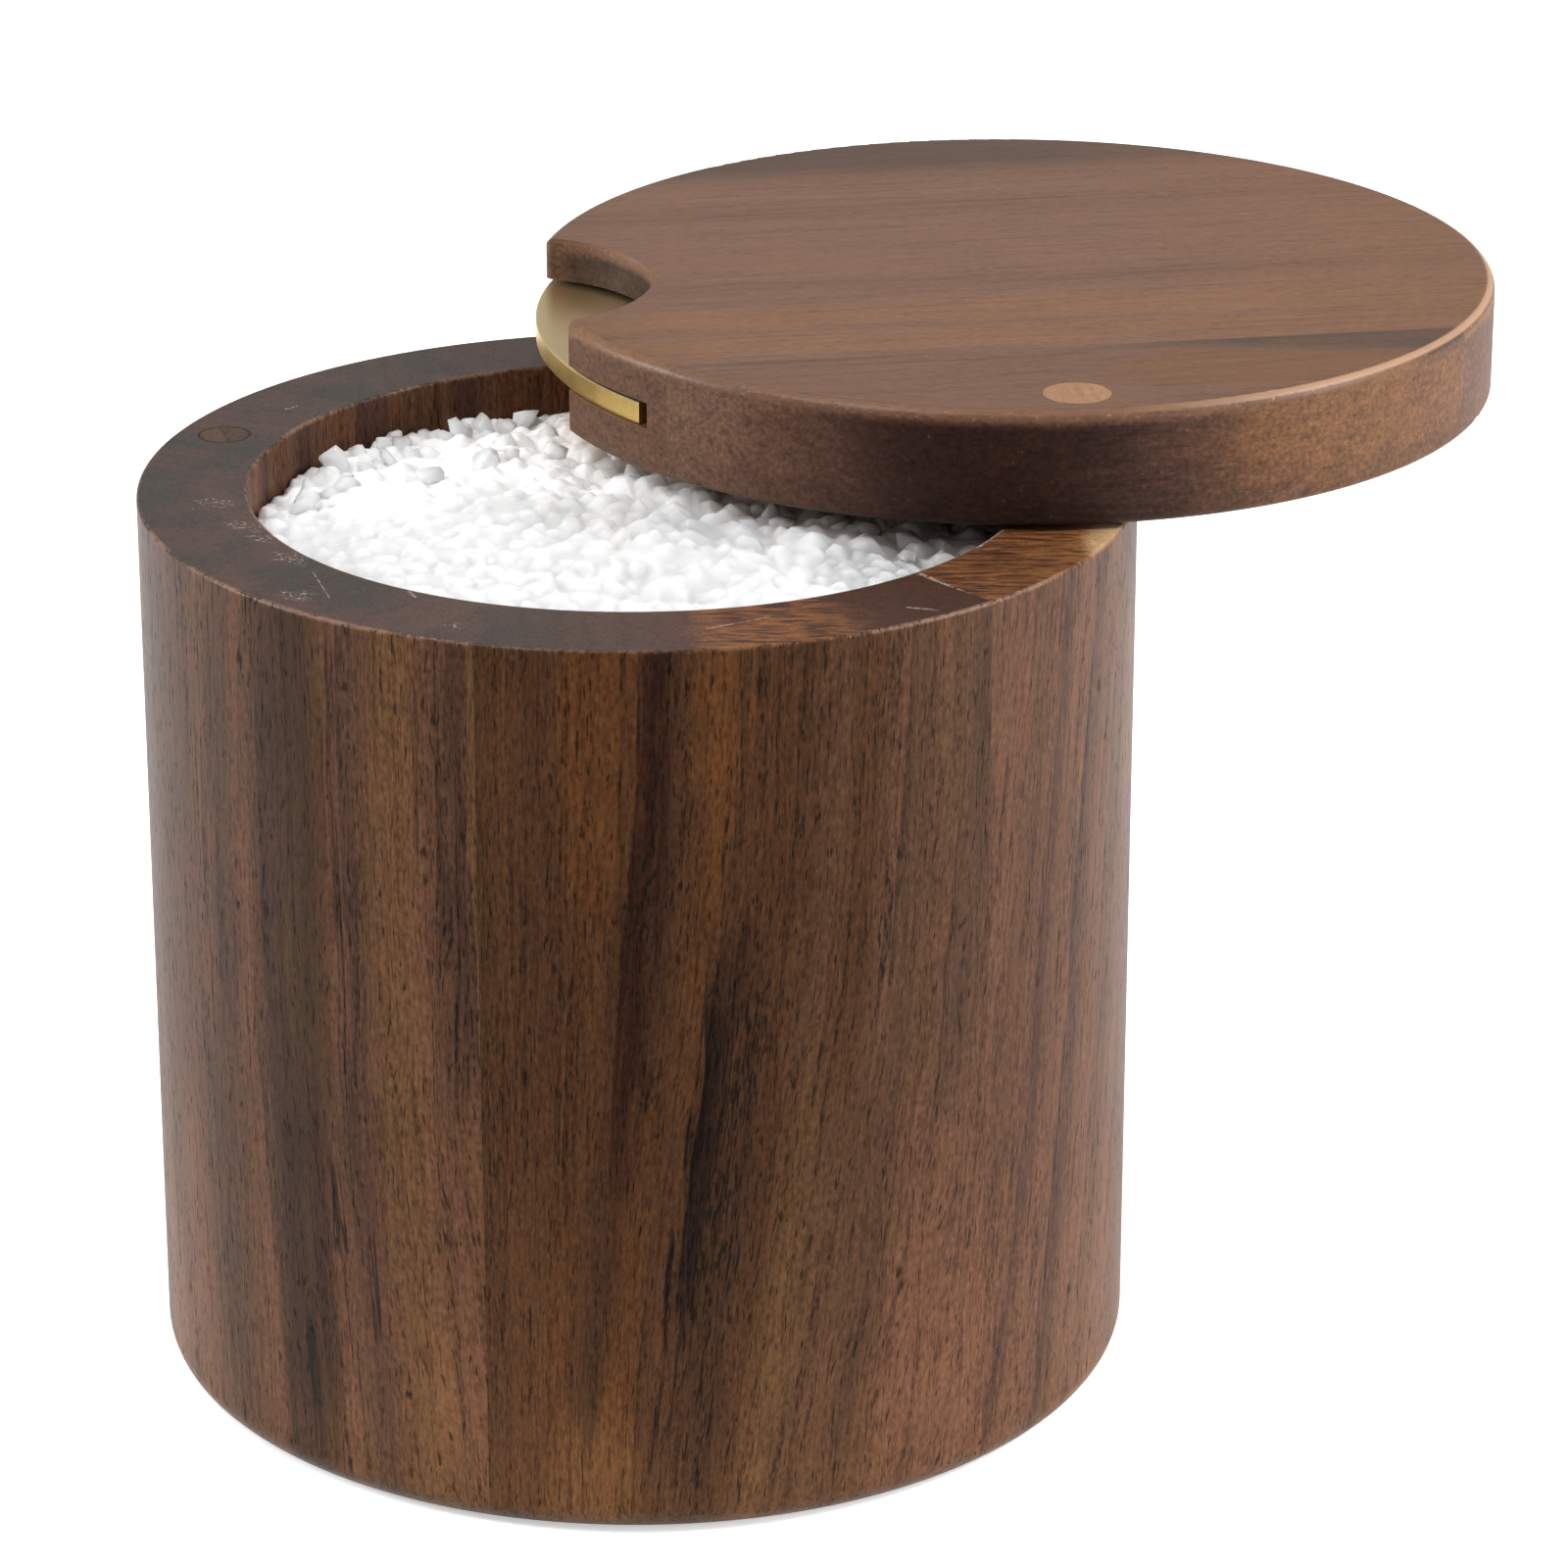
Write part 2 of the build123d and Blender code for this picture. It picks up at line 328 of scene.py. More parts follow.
def walnut(name, across, deep, along, start, seed, tones, heart=(-70.0, 30.0), drift=None, sway=4.5,
           ends_to=None, extra=None, pores=1.0, busy=1.0, rings=1.0, lift=1.0, tint=None, inner=0.0,
           foot_painted_light=0.0, rough=0.42, sheen=0.09, end_sheen=0.25, face_sheen=0.0):
    """A solid block of oiled walnut, grain along one direction, so faces show long grain and ends show rings.

    across, deep and along are the block's directions and start is the middle of its outer face. tones paints
    its figure, ends_to its end grain and extra its wear and painted highlights. heart is the middle of its
    growth rings, across and deep. drift bends its grain and sway is how far the grain wanders. pores, busy
    and rings are shares of the usual pores, mottling and ring contrast. lift and tint set its level and hue.
    inner
    and foot_painted_light are painted light: how much paler its inner face and its foot are painted, for
    light inside the cavity and light bounced up from the floor. sheen is its gloss, end_sheen and face_sheen
    what its ends and its outer face add.
    """
    craft = Craft(name)
    place = craft.place()
    u = craft.dot(place, across) - Vector(start).dot(across)
    v = craft.dot(place, deep) - Vector(start).dot(deep)
    w = craft.dot(place, along) - Vector(start).dot(along)
    shift = seed * seed_shift

    def grained(grain_size, first, second, detail, roughness=0.5):
        width, length = grain_size
        return craft.noise(first / width + shift, second / width, w / length, detail, roughness)

    # The grain's own slant, its slow wander and its tremble
    stray = (grained(WANDER, u, v, 0.0) - 0.5) * sway
    tremble = (grained(TREMBLE, u, v, 1.0) - 0.5) * 1.7
    grain = u + stray + tremble
    if drift:
        grain = grain - drift(craft, u, w)
    inward = v + stray + tremble

    # Long threads, fine fibres, short flecks and slow haze; the figure's borders fray along the threads
    thread = grained(THREAD, grain, inward, 2.0, 0.62)
    fibre = grained(FIBRE, grain, inward, 2.0, 0.7)
    speck = grained(SPECK, grain, inward, 1.0, 0.6)
    haze = grained(HAZE, u, v, 1.0)
    fray = (thread - 0.5) * 5.5 + (fibre - 0.5) * 1.5
    figure = grain + fray

    # Growth rings round a far heart, each darker towards its late wood
    ring = craft.distance(craft.join(figure - heart[0], inward + fray - heart[1]))
    year = craft.waver(ring / ring_wobble + shift)
    turn = craft.math("FRACT", (ring + (year - 0.5) * ring_wobble) / ring_spacing + seed)
    late = craft.step(turn, 0.30, 0.93) * craft.step(turn, 1.0, 0.95)
    dark_thread = craft.step(thread, 0.48, 0.66)
    block = SimpleNamespace(u=u, v=v, w=w, figure=figure, ring=ring, thread=thread, fibre=fibre, speck=speck,
                            haze=haze, place=place, shift=shift, crowd=late * 0.45 + dark_thread * 0.45)
    colour = tones(craft, block)

    # The foot is painted paler and warmer, a painted light for light bounced up from the floor,
    # and the pigment's level follows the fibres, flecks, threads and rings
    foot = craft.step(w + (thread - 0.5) * 20, -36.0, -52.0)
    colour = craft.mix(colour, craft.shade(FAWN, 1.1), foot * 0.3)
    level = (fibre - 0.5) * 0.95 + (speck - 0.5) * 1.5 + (haze - 0.5) * 0.35 - dark_thread * 0.3
    level = (level * busy + 1.06) * (1.0 - late * 0.1 * rings)
    # Painted light: the inner face is painted paler for light inside the cavity, and the lower half paler for
    # light bounced up from the floor
    level = level * (1.0 + craft.step(v, 11.0, 12.0) * inner + craft.step(w, 0.0, -50.0) * foot_painted_light)
    colour = craft.shade(colour, craft.larger(level, 0.35) * lift)
    if tint:
        colour = craft.node("ShaderNodeVectorMath", {0: colour, 1: tint}, operation="MULTIPLY")

    # End grain
    ends = craft.facing(along)
    ends = ends * ends
    if ends_to:
        mottle = (thread - 0.5) * 0.7 + (fibre - 0.5) * 0.4 + (speck - 0.5) * 0.3 - late * 0.12
        colour = craft.mix(colour, craft.shade(ends_to(craft, block), mottle + 0.93), ends * 0.9)

    # Pores: short dark dashes along the grain, crowded where the figure says
    pit = grained(PIT, grain, inward, 1.0, 0.45)
    pore = craft.step(pit - 0.655 + block.crowd * 0.1, 0.0, 0.05) * pores
    colour = craft.mix(colour, craft.shade(colour, 0.22), pore * (0.82 - ends * 0.55))
    roughness = (speck - 0.5) * 0.12 + pore * 0.2 + rough
    if extra:
        colour, roughness = extra(craft, block, colour, roughness)
    craft.set(Base_Color=colour, Roughness=roughness,
              Specular_IOR_Level=ends * end_sheen + craft.facing(deep) * face_sheen + sheen)
    craft.bump(craft.step(pit, 0.72, 0.62) + (speck - 0.5) * 0.3, 0.04, 0.6)
    return craft.material


# Figure. Places across and along a block are in millimetres; across a stave they run from -27.5 at its left
# seam to 27.5 at its right, and along it they are counted from the middle of its height.
stave_half = 27.5
stripes_half = 30.0


def streak(craft, block, middle, half, low, high, soft=5.0):
    """A frayed stripe along the grain, given by its middle and half width across, and its two ends."""
    away = craft.size(block.figure - middle)
    above = craft.step(block.w, low - soft, low + soft)
    below = craft.step(block.w, high + soft, high - soft)
    return craft.step(away, half, half * 0.4) * above * below


def blot(craft, block, middle, reach):
    """A soft oval patch of the figure."""
    return craft.spot(block.figure, block.w, middle, reach)


def banded(stops):
    """Pigment that changes with the ring distance alone, in uneven bands."""
    def tones(craft, block):
        slow = craft.waver((block.ring + block.shift) / band_width, detail=2.0)
        return craft.ramp(slow, stops)
    return tones


def striped(upper, lower, height, figure):
    """Pigment in stripes across a stave, one set above a height and one below it, under its figure."""
    def tones(craft, block):
        def stripes(stops):
            places = [((place + stripes_half) / (2 * stripes_half), pigment) for place, pigment in stops]
            return craft.ramp((block.figure + stripes_half) / (2 * stripes_half), places)
        share = craft.step(block.w + (block.haze - 0.5) * 60, height + 14, height - 14)
        return figure(craft, block, craft.mix(stripes(upper), stripes(lower), share))
    return tones


plain_bands = banded([(0.32, PLUM), (0.41, ROSE_DEEP), (0.47, TAN), (0.54, ROSE), (0.60, ROSE_DEEP),
                      (0.68, PLUM)])


def stave_frame(index):
    """Across, inward and upward directions of a stave and the middle of its outer face."""
    middle = first_seam + (index - 0.5) * stave_angle
    outward = Vector((cos(middle), sin(middle), 0))
    across = Vector((-sin(middle), cos(middle), 0))
    return across, -outward, up, outward * body_radius + up * (body_height / 2)


def front_drift(craft, u, w):
    """The front stave's grain leans left on its way down, more so away from its left seam."""
    above = craft.larger(w, 0.0)
    return (w * 0.14 - above * above * 0.0012) * craft.step(u, -stave_half, -4.0)


def left_drift(craft, u, w):
    """The left stave's grain is upright above and leans right below."""
    return craft.math("MINIMUM", w, 0.0) * -0.07


def right_drift(craft, u, w):
    """The right stave's grain leans left on its way down."""
    return w * 0.13


def front_figure(craft, block, colour):
    """The front stave's near-black streak, the crowded pores round it, and its golden and dim patches."""
    core = streak(craft, block, -4.4, 2.1, -24, 12)
    tail = streak(craft, block, -5.0, 0.8, -39, -16, soft=3)
    tip = blot(craft, block, (-2.9, 14.0), (2.6, 9.0))
    zone = streak(craft, block, -2.0, 4.8, -28, 10, soft=6)
    foot = streak(craft, block, -0.6, 3.2, -50, -28, soft=4)
    side = blot(craft, block, (-26.0, -2.0), (3.0, 14.0))
    block.crowd = block.crowd + zone * 0.9 + foot * 0.6 + side * 0.6
    glow = craft.larger(blot(craft, block, (-17.6, 48.0), (3.4, 40.0)) * 0.8,
                        blot(craft, block, (-6.6, 52.0), (4.0, 32.0)) * 0.6,
                        blot(craft, block, (-12.5, -44.0), (3.4, 22.0)) * 0.7)
    colour = craft.mix(colour, GOLD, glow * 0.85)
    paler_sides = craft.step(block.u, -14.0, -25.0) * 0.26 + craft.step(block.u, 12.0, 18.0) * 0.1
    colour = craft.shade(colour, paler_sides + 1.0)
    colour = craft.mix(colour, SAND, blot(craft, block, (-14.5, -47.0), (8.0, 16.0)) * 0.8)
    colour = craft.mix(colour, OLIVE, blot(craft, block, (-15.5, -33.0), (2.4, 10.0)) * 0.7)
    colour = craft.mix(colour, UMBER, craft.larger(zone, foot) * 0.4)
    broken = craft.step(block.thread, 0.3, 0.5) * (craft.step(block.fibre, 0.4, 0.6) * 0.3 + 0.6)
    return craft.mix(colour, INK, craft.larger(core, tail, tip * 0.6) * broken)


def left_figure(craft, block, colour):
    """The thin ink lines, dusky stripes and paler right side of the left stave, and painted light at its far
    left.
    """
    thin = streak(craft, block, 4.0, 0.4, -50, -31, soft=2)
    short = streak(craft, block, 9.5, 0.35, -22, -12, soft=2)
    mark = streak(craft, block, 13.1, 0.4, -31, -18, soft=2)
    dusk = craft.larger(streak(craft, block, 1.9, 1.4, -24, 52, soft=8),
                        streak(craft, block, 6.6, 0.9, -40, 2, soft=6))
    violet = streak(craft, block, 13.4, 1.3, -4, 55, soft=7)
    seam_side = streak(craft, block, 26.4, 0.9, 2, 34, soft=6)
    block.crowd = block.crowd + dusk * 0.4 + violet * 0.5 + seam_side * 0.6
    colour = craft.mix(colour, PLUM, craft.larger(dusk, violet, seam_side) * 0.35)
    # Painted light: at the far left, lighter towards the bottom and darker towards the top, as the light
    # falls there
    painted_light_low_left = (craft.step(block.w, 40.0, -40.0) - 0.5) * craft.step(block.u, -8.0, -18.0)
    right_side = craft.step(block.u, 9.0, 15.0)
    dark_band = craft.step(craft.size(block.u - 6.5), 5.5, 2.5)
    colour = craft.shade(colour, right_side * 0.33 + painted_light_low_left * 0.4 - dark_band * 0.34 + 0.97)
    return craft.mix(colour, INK, craft.larger(thin, short, mark) * 0.8)


def right_painted_sheen(craft, block, colour):
    """The right stave is painted a little paler away from its left seam, a painted sheen for grazing light
    towards its right outline.
    """
    # Painted sheen: paler colour away from the left seam
    return craft.shade(colour, craft.step(block.u, -20.0, -8.0) * 0.16 + 1.06)


# Stripes, as places across a stave and the pigments there
front_upper = [(-27.5, OLIVE), (-25, TAN), (-22.5, BROWN), (-20, TAN), (-18.4, TAN), (-16.8, HONEY),
               (-15.4, TAN), (-14, RED), (-12.4, RED), (-11.2, BROWN), (-10, TAN), (-6.5, HONEY), (-4.5, TAN),
               (-1, TAN), (2, TAN), (5, ROSE_DEEP), (9, TAN), (12.5, ROSE_DEEP), (13.4, ROSE), (14.2, DIM),
               (17, ROSE_DEEP), (20, ROSE_DEEP), (23, DIM), (27.5, ROSE_DEEP)]
front_lower = [(-27.5, BROWN), (-25, TAN), (-22, TAN), (-20, HONEY), (-17, TAN), (-14.2, BROWN),
               (-12.6, HONEY), (-10.5, HONEY), (-8.5, TAN), (-6, TAN), (0, BROWN), (3, TAN), (6, FAWN),
               (10, ROSE_DEEP), (14.5, ROSE_DEEP), (15.3, DIM), (17, ROSE_DEEP), (21, ROSE), (24, ROSE),
               (27.5, ROSE)]
left_upper = [(-27.5, ROSE), (-22, ROSE_DEEP), (-18, ROSE), (-14, ROSE_DEEP), (-11, ROSE), (-8, ROSE_DEEP),
              (-5, DIM), (-3.8, ROSE), (0, ROSE_DEEP), (1.5, PLUM), (3.5, ROSE_DEEP), (5, FAWN), (6.6, DIM),
              (9, FAWN), (11, ROSE), (12.6, PLUM), (14.5, DIM), (16, ROSE_DEEP), (19, FAWN), (22, ROSE),
              (25, DIM), (26.4, PLUM), (27.5, FAWN)]
left_lower = [(-27.5, ROSE), (-22, ROSE_DEEP), (-17, ROSE), (-12.5, ROSE_DEEP), (-12, DIM), (-8, DIM),
              (-5, ROSE_DEEP), (-2, ROSE), (0, DIM), (2, PLUM), (4, DIM), (7, ROSE_DEEP), (9, ROSE),
              (11.5, DIM), (13, PLUM), (16, ROSE_DEEP), (19, FAWN), (25, ROSE), (27.5, FAWN)]
right_stripes = [(-27.5, ROSE), (-25, ROSE_DEEP), (-22, ROSE), (-20.5, PLUM), (-19, ROSE), (-15, ROSE),
                 (-13.5, PLUM), (-12, ROSE_DEEP), (-9, ROSE), (-4, ROSE_DEEP), (0, ROSE), (8, ROSE_DEEP),
                 (14, ROSE), (20, PLUM), (27.5, ROSE)]

# Pigments of the staves' end grain, and the cream of a painted highlight on the right stave's top
GREY_END = srgb(54, 48, 43)
MAUVE_END = srgb(71, 51, 45)
UMBER_END = srgb(79, 55, 44)
RUST_END = srgb(84, 53, 35)
RED_END = srgb(61, 37, 27)
GOLD_END = srgb(123, 76, 41)
BRONZE_END = srgb(81, 46, 25)
AMBER_END = srgb(134, 88, 47)
CHAR_END = srgb(42, 24, 16)
STRAW_HIGHLIGHT_END = srgb(205, 172, 129)


def broken_lines(craft, block):
    """Short dark and light lines that run across the view on a stave's top."""
    x = craft.dot(block.place, view_across)
    y = craft.dot(block.place, view_ahead)
    return craft.noise(x / 4.5, y / 0.7, 0.0, roughness=0.6)


def grey_ends(craft, block):
    """A plain stave's top: grey with mauve clouds."""
    return craft.mix(GREY_END, MAUVE_END, craft.step(block.haze + (block.fibre - 0.5) * 0.6, 0.36, 0.62))


def front_ends(craft, block):
    """The front stave's top: grey at its left, golden figure past its middle, red-brown at its right."""
    clouds = (block.haze - 0.5) * 9 + (block.fibre - 0.5) * 9
    where = (block.u + clouds + stave_half) / (2 * stave_half)
    gold = craft.mix(GOLD_END, RED_END, craft.step(broken_lines(craft, block), 0.42, 0.62))
    tone = craft.ramp(where, [(0.0, GREY_END), (0.32, MAUVE_END), (0.42, UMBER_END), (0.64, RUST_END),
                              (0.72, RED_END), (1.0, RED_END)])
    return craft.mix(tone, gold, craft.step(craft.size(where - 0.57), 0.2, 0.07))


def right_ends(craft, block):
    """The right stave's top: golden brown, lighter to the back, with dark broken lines and a painted
    highlight at its far right, under the lid.
    """
    x = craft.dot(block.place, view_across)
    lines = broken_lines(craft, block)
    glow = craft.step(x + (block.haze - 0.5) * 16, 38.0, 52.0)
    base = craft.mix(BRONZE_END, AMBER_END, craft.larger(glow, craft.step(lines, 0.55, 0.33) * 0.7))
    base = craft.mix(base, CHAR_END, craft.step(lines, 0.5, 0.64) * 0.75)
    # Painted highlight: a cream strip at the far right of the rim, under the lid, where light glints
    return craft.mix(base, STRAW_HIGHLIGHT_END, craft.step(x + (block.haze - 0.5) * 8, 47.5, 51.5) * 0.7)


# Paler colour of the rim's edges: partly wear, partly a painted highlight on its eased edges
WORN_EDGE_HIGHLIGHT = srgb(176, 136, 112)
SCUFF = srgb(176, 166, 160)

# Wear on the rim by stave, in millimetres across the photograph and away from its camera: scratches, as
# start, end and half width, and dusty scuffs, as middle and reach
scratches = {
    1: [((28.8, -41.7), (32.0, -42.6), 0.3), ((8.2, -48.2), (14.6, -44.7), 0.18)],
    2: [((36.7, -22.8), (39.5, -17.0), 0.45), ((30.5, -31.3), (36.7, -39.5), 0.4)],
    5: [((-40.7, 25.1), (-39.6, 26.2), 0.3)],
    6: [((-33.6, -30.6), (-31.2, -39.0), 0.1), ((-22.3, -38.6), (-23.1, -36.8), 0.25)],
}
scuffs = {
    5: [((-45.5, -8.0), (2.8, 1.6)), ((-44.6, -11.5), (2.0, 1.6)), ((-48.0, -10.5), (0.7, 0.6))],
    6: [((-42.2, -15.8), (1.8, 1.6)), ((-39.6, -19.8), (2.0, 2.0)), ((-36.4, -26.2), (1.8, 2.2)),
        ((-34.7, -38.0), (2.4, 1.8)), ((-18.7, -47.0), (1.6, 1.2))],
}

# The plug over the rim's magnet, with the glue line round it
magnet_stave = 5
rim_plug_place = (-49.27, 4.74, body_height)
rim_plug_radius = 2.9


def rim_wear_and_highlight(index):
    """Paler edges round the rim, partly wear and partly a painted highlight, and the few scuffs and scratches
    of use on its top.
    """
    def extra(craft, block, colour, roughness):
        x = craft.dot(block.place, view_across)
        y = craft.dot(block.place, view_ahead)
        reach = craft.distance(craft.join(x, y))
        high = craft.step(craft.dot(block.place, up), body_height - 0.55, body_height - 0.1)
        edge = craft.larger(craft.step(reach, body_radius - 0.5, body_radius - 0.25),
                            craft.step(reach, cavity_radius + 0.55, cavity_radius + 0.25)) * high
        # Painted highlight, partly wear: the pale edge line is stronger at the sides of the view than in its
        # middle
        highlight_at_the_sides = craft.step(craft.size(x - 2.0), 8.0, 26.0) * 0.2 + 0.1
        worn = craft.step(block.speck + block.haze, 0.85, 1.2) * highlight_at_the_sides
        colour = craft.mix(colour, WORN_EDGE_HIGHLIGHT, edge * worn)

        flakes = craft.noise(x / 0.45, y / 0.45, 0.0)
        warp = (craft.noise(x / 2.0, y / 2.0, 4.0, detail=1.0) - 0.5) * 6.0
        marks = [craft.line(x, y, start, end, width) * craft.step(flakes, 0.38, 0.56)
                 for start, end, width in scratches.get(index, ())]
        marks.extend([craft.spot(x + warp, y - warp, middle, spread) * craft.step(flakes, 0.5, 0.68)
                      for middle, spread in scuffs.get(index, ())])
        if marks:
            colour = craft.mix(colour, SCUFF, craft.larger(*marks) * high * 0.45)
        if index == magnet_stave:
            off_line = craft.size(craft.distance(block.place, rim_plug_place) - rim_plug_radius)
            colour = craft.mix(colour, INK, craft.step(off_line, 0.25, 0.08) * 0.8)
        return colour, roughness
    return extra


# The staves' inner face and lower part are painted paler: painted light for the cavity and for the floor's
# bounce
stave_finish = dict(lift=0.86, inner=0.4, foot_painted_light=0.36, tint=(1.0, 0.91, 0.81))
stave_plans = {
    1: dict(tones=striped(front_upper, front_lower, 0, front_figure), drift=front_drift, ends_to=front_ends,
            heart=(-150.0, 30.0), sway=1.4),
    2: dict(tones=striped(right_stripes, right_stripes, 0, right_painted_sheen), drift=right_drift,
            ends_to=right_ends, heart=(-110.0, 40.0), pores=0.8),
    6: dict(tones=striped(left_upper, left_lower, -4, left_figure), drift=left_drift, ends_to=grey_ends,
            heart=(120.0, 30.0), sway=1.4),
}
for index in range(1, stave_count + 1):
    plain = dict(tones=plain_bands, heart=(-60.0 - 12 * index, 26.0), ends_to=grey_ends)
    dress(f"stave_{index}", walnut(f"walnut_stave_{index}", *stave_frame(index), index, extra=rim_wear_and_highlight(index),
                                   **stave_finish, **stave_plans.get(index, plain)))

floor_frame = (Vector((1, 0, 0)), up, Vector((0, 1, 0)), (0, 0, 0))
dress("floor_disc", walnut("walnut_floor", *floor_frame, 9, plain_bands))

# The lid's boards, with their grain as the photograph shows it on the swung lid
lid_grain_angle = radians(22.0)
lid_along = Vector((cos(lid_grain_angle), sin(lid_grain_angle), 0))
lid_across = Vector((sin(lid_grain_angle), -cos(lid_grain_angle), 0))
lid_start = Vector((lid_centre.x, lid_centre.y, lid_top))
lid_figure_half = 55.0

# Pigments of the lid: its satin top, its side, its worn places and a painted highlight on its top edge
DUSK = srgb(78, 56, 43)
SATIN = srgb(108, 76, 57)
SATIN_DEEP = srgb(101, 71, 53)
SATIN_GOLD = srgb(115, 78, 50)
SHADE = srgb(93, 63, 47)
EMBER = srgb(39, 17, 10)
SIDE = srgb(87, 59, 43)
NOTCH_WALL = srgb(38, 24, 19)
GREY_SIDE = srgb(100, 76, 64)
GOLD_SIDE = srgb(106, 69, 35)
DUST = srgb(150, 120, 104)
RIDGE_HIGHLIGHT = srgb(184, 148, 121)


def main_board_tones(craft, block):
    """Back of the lid: quiet satin stripes, a dusky one at the back, and a dark wall inside its notch."""
    where = (block.figure + lid_figure_half) / (2 * lid_figure_half)
    top = craft.ramp(where, [(0.0, DUSK), (0.1, DUSK), (0.14, SATIN_DEEP), (0.2, SATIN), (0.27, SATIN_DEEP),
                             (0.31, SATIN), (0.5, SATIN), (0.55, SATIN_DEEP), (0.6, SATIN),
                             (0.66, SATIN_GOLD), (0.70, SATIN), (0.73, SATIN_GOLD), (0.78, SATIN)])
    top = craft.mix(top, craft.shade(SATIN_GOLD, 0.93), craft.step(block.w, 5.0, 50.0) * 0.6)
    reach = craft.distance(craft.join(block.u, block.w))
    side = craft.mix(SIDE, NOTCH_WALL, craft.step(reach, 53.5, 51.5))
    return craft.mix(top, side, craft.step(block.v, 0.8, 2.2) * 0.95)


def edge_board_tones(craft, block):
    """Front of the lid: a dusky wedge beside the seam, gold figure round the plug, an ember-dark edge."""
    top = craft.step(block.v, 2.2, 0.8)
    side = 1.0 - top
    ragged = (block.haze - 0.5) * 7 + (block.fibre - 0.5) * 3
    wedge = craft.step(block.u - block.w * 0.14 + ragged, 36.0, 31.0) * craft.step(block.w, 2.0, 22.0) * top
    soft = craft.spot(block.u, block.w, (31.5, -32.0), (3.0, 22.0)) * top
    gold = craft.spot(block.u, block.w, (42.0, 18.0), (9.0, 20.0)) * top
    hazy_depth = block.v + (block.haze - 0.5) * 9
    side_gold = craft.spot(block.w + ragged * 2.4, hazy_depth, (32.0, 6.5), (30.0, 9.5))
    left_gold = craft.spot(block.w + ragged * 2, block.v, (-45.0, 7.0), (9.0, 9.0))
    grey_left = craft.step(block.w + ragged, -34.0, -44.0) * side
    front = craft.step(block.w + ragged * 2.0, 24.0, -6.0) * craft.step(block.w + ragged, -40.0, -18.0) * side
    colour = craft.mix(SATIN_DEEP, SHADE, side)
    colour = craft.mix(colour, GREY_SIDE, grey_left * 0.85)
    colour = craft.mix(colour, GOLD_SIDE, craft.larger(gold * 0.6, side_gold * 0.66, left_gold * 0.3))
    colour = craft.mix(colour, DUSK, craft.larger(wedge * 0.9, soft * 0.7))
    colour = craft.mix(colour, EMBER, front * 0.9)
    return craft.shade(colour, 1.0 - craft.step(block.v + (block.haze - 0.5) * 4, 7.5, 12.0) * 0.22)


def lid_wear_and_highlight(craft, block, colour, roughness):
    """Sanded-open grain that sparkles on the lid's side, light chips on its top edge, and a painted highlight
    along the top edge's rounding, brightest at its right.
    """
    dust = craft.noise(block.u / 0.6 + 5, block.v / 0.6, block.w / 0.6, detail=3.0, roughness=0.6)
    side = craft.step(block.v, 0.6, 1.6)
    patches = craft.noise(block.u / 3.2, block.v / 1.5, block.w / 3.2, detail=3.0, roughness=0.6)
    colour = craft.shade(colour, ((dust - 0.5) * 1.9 + (patches - 0.5) * 0.9) * side + 1.0)
    colour = craft.mix(colour, DUST, craft.step(dust, 0.7, 0.76) * side * 0.3)
    # Light chips along the top edge, painted in the highlight's colour, partly real chips and partly painted
    # highlight
    near_edge = craft.step(block.v, 1.3, 0.7) * craft.step(block.v, 0.1, 0.5)
    chips_and_highlight = near_edge * craft.step(block.speck, 0.66, 0.76)
    # Painted highlight: a bright line along the rounding of the top edge, stronger at the right, where the
    # light catches it
    ridge_highlight = craft.step(block.v, 0.7, 0.4) * craft.step(block.v, 0.02, 0.12)
    ridge_highlight = ridge_highlight * (craft.step(block.w, -5.0, 28.0) * 0.5 + 0.06)
    return craft.mix(colour, RIDGE_HIGHLIGHT, craft.larger(chips_and_highlight * 0.35, ridge_highlight)), roughness + side * 0.14


lid_frame = (lid_across, down, lid_along, lid_start)
lid_finish = dict(pores=0.15, busy=0.5, lift=0.92, rough=0.4, sheen=0.19, end_sheen=0.0, face_sheen=0.09,
                  extra=lid_wear_and_highlight)
dress("lid_main_board", walnut("walnut_lid_main", *lid_frame, 11, main_board_tones, heart=(-10.0, 90.0),
                               rings=0.4, sway=2.0, **lid_finish))
dress("lid_edge_board", walnut("walnut_lid_edge", *lid_frame, 12, edge_board_tones, heart=(60.0, 60.0),
                               rings=0.5, **lid_finish))

# The plugs over the pivot's screw and the magnets, their grain across the lid's
plug_frame = (lid_along, down, lid_across, lid_start)
pivot_plug_bands = banded([(0.3, srgb(149, 112, 84)), (0.6, srgb(140, 105, 79))])
lid_plug_bands = banded([(0.3, BROWN), (0.6, TAN)])
rim_plug_bands = banded([(0.3, srgb(67, 52, 41)), (0.6, srgb(75, 58, 45))])
dress("pivot_plug", walnut("walnut_pivot_plug", *plug_frame, 15, pivot_plug_bands, pores=0.2, busy=0.3,
                           rings=0.3, lift=0.92))
dress("lid_magnet_plug", walnut("walnut_lid_plug", *plug_frame, 16, lid_plug_bands, pores=0.5))
dress("body_magnet_plug", walnut("walnut_body_plug", *plug_frame, 17, rim_plug_bands, pores=0.5, busy=0.5,
                                 extra=rim_wear_and_highlight(magnet_stave)))

BRASS = srgb(214, 180, 108)
BRASS_DEEP = srgb(182, 150, 84)
BRASS_PAINTED_TOP_LIGHT = srgb(246, 222, 168)
OLD_BRASS = srgb(206, 172, 104)
OLD_BRASS_DEEP = srgb(160, 128, 76)
STEEL = srgb(190, 190, 192)
STEEL_DEEP = srgb(160, 160, 164)
NICKEL = srgb(205, 203, 196)
NICKEL_DEEP = srgb(170, 168, 162)


